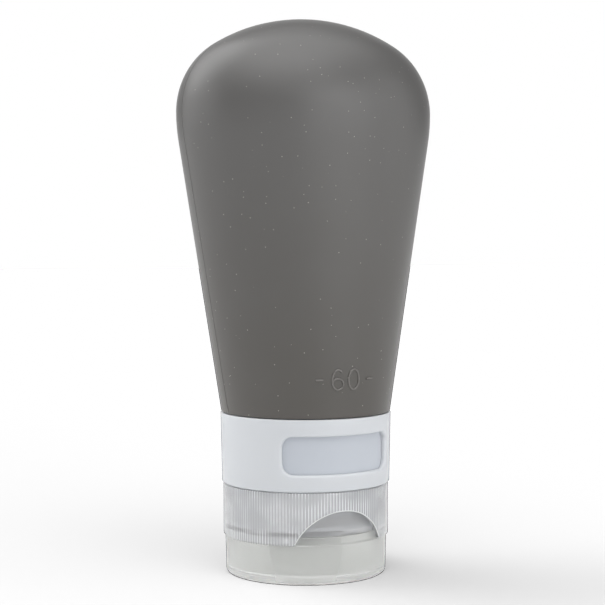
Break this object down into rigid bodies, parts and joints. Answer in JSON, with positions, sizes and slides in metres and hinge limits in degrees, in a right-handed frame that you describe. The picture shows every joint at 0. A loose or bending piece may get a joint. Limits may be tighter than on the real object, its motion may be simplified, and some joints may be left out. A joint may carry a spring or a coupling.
{
  "type": "travel squeeze bottle",
  "caption": "Soft silicone squeeze bottle standing on its closed flip-top screw cap, with a turning window collar round the neck.",
  "frame": {"origin": "centre of the bottle's footprint, on the surface it stands on, which is the lid's flat face", "axes": "+Z along the bottle's axis from the lid to the dome, -Y towards the front with the window and thumb notch, +Y towards the lid's hinge"},
  "size_m": [0.048, 0.0368, 0.1],
  "materials": {
    "body_silicone": "satin moulded silicone, grey, slightly translucent",
    "collar_plastic": "white polypropylene",
    "band_plastic": "pale satin polypropylene, bare",
    "sleeve_plastic": "white satin polypropylene",
    "cap_plastic": "frosted clear polypropylene",
    "gasket_silicone": "pale silicone",
    "valve_silicone": "clear silicone",
    "retainer_plastic": "natural polypropylene",
    "lid_plastic": "frosted clear polypropylene"
  },
  "bodies": {
    "bottle": {"bottle_body": "body_silicone", "neck_collar": "collar_plastic", "indicator_band": "band_plastic"},
    "sleeve": {"collar_sleeve": "sleeve_plastic"},
    "seal": {"cap_gasket": "gasket_silicone"},
    "cap": {"cap_shell": "cap_plastic", "dispensing_valve": "valve_silicone", "valve_retainer": "retainer_plastic", "hinge_film": "lid_plastic"},
    "lid": {"flip_lid": "lid_plastic"}
  },
  "joints": [
    {"name": "collar_turn", "type": "hinge", "parent": "bottle", "child": "sleeve", "pos_m": [0, 0, 0.02275], "axis": [0, 0, 1], "continuous": true},
    {"name": "cap_travel", "type": "slide", "parent": "bottle", "child": "seal", "axis": [0, 0, -1], "range_m": [0, 0.00451]},
    {"name": "cap_turn", "type": "hinge", "parent": "seal", "child": "cap", "pos_m": [0, 0, 0.0115], "axis": [0, 0, -1], "range_deg": [0, 540]},
    {"name": "lid_hinge", "type": "hinge", "parent": "cap", "child": "lid", "pos_m": [0, 0.01438, 0.007], "axis": [1, 0, 0], "range_deg": [0, 140], "deforming": ["hinge_film"]}
  ],
  "couplings": [
    {"joint": "cap_travel", "follows": "cap_turn", "m_per_rad": 0.00047746}
  ]
}
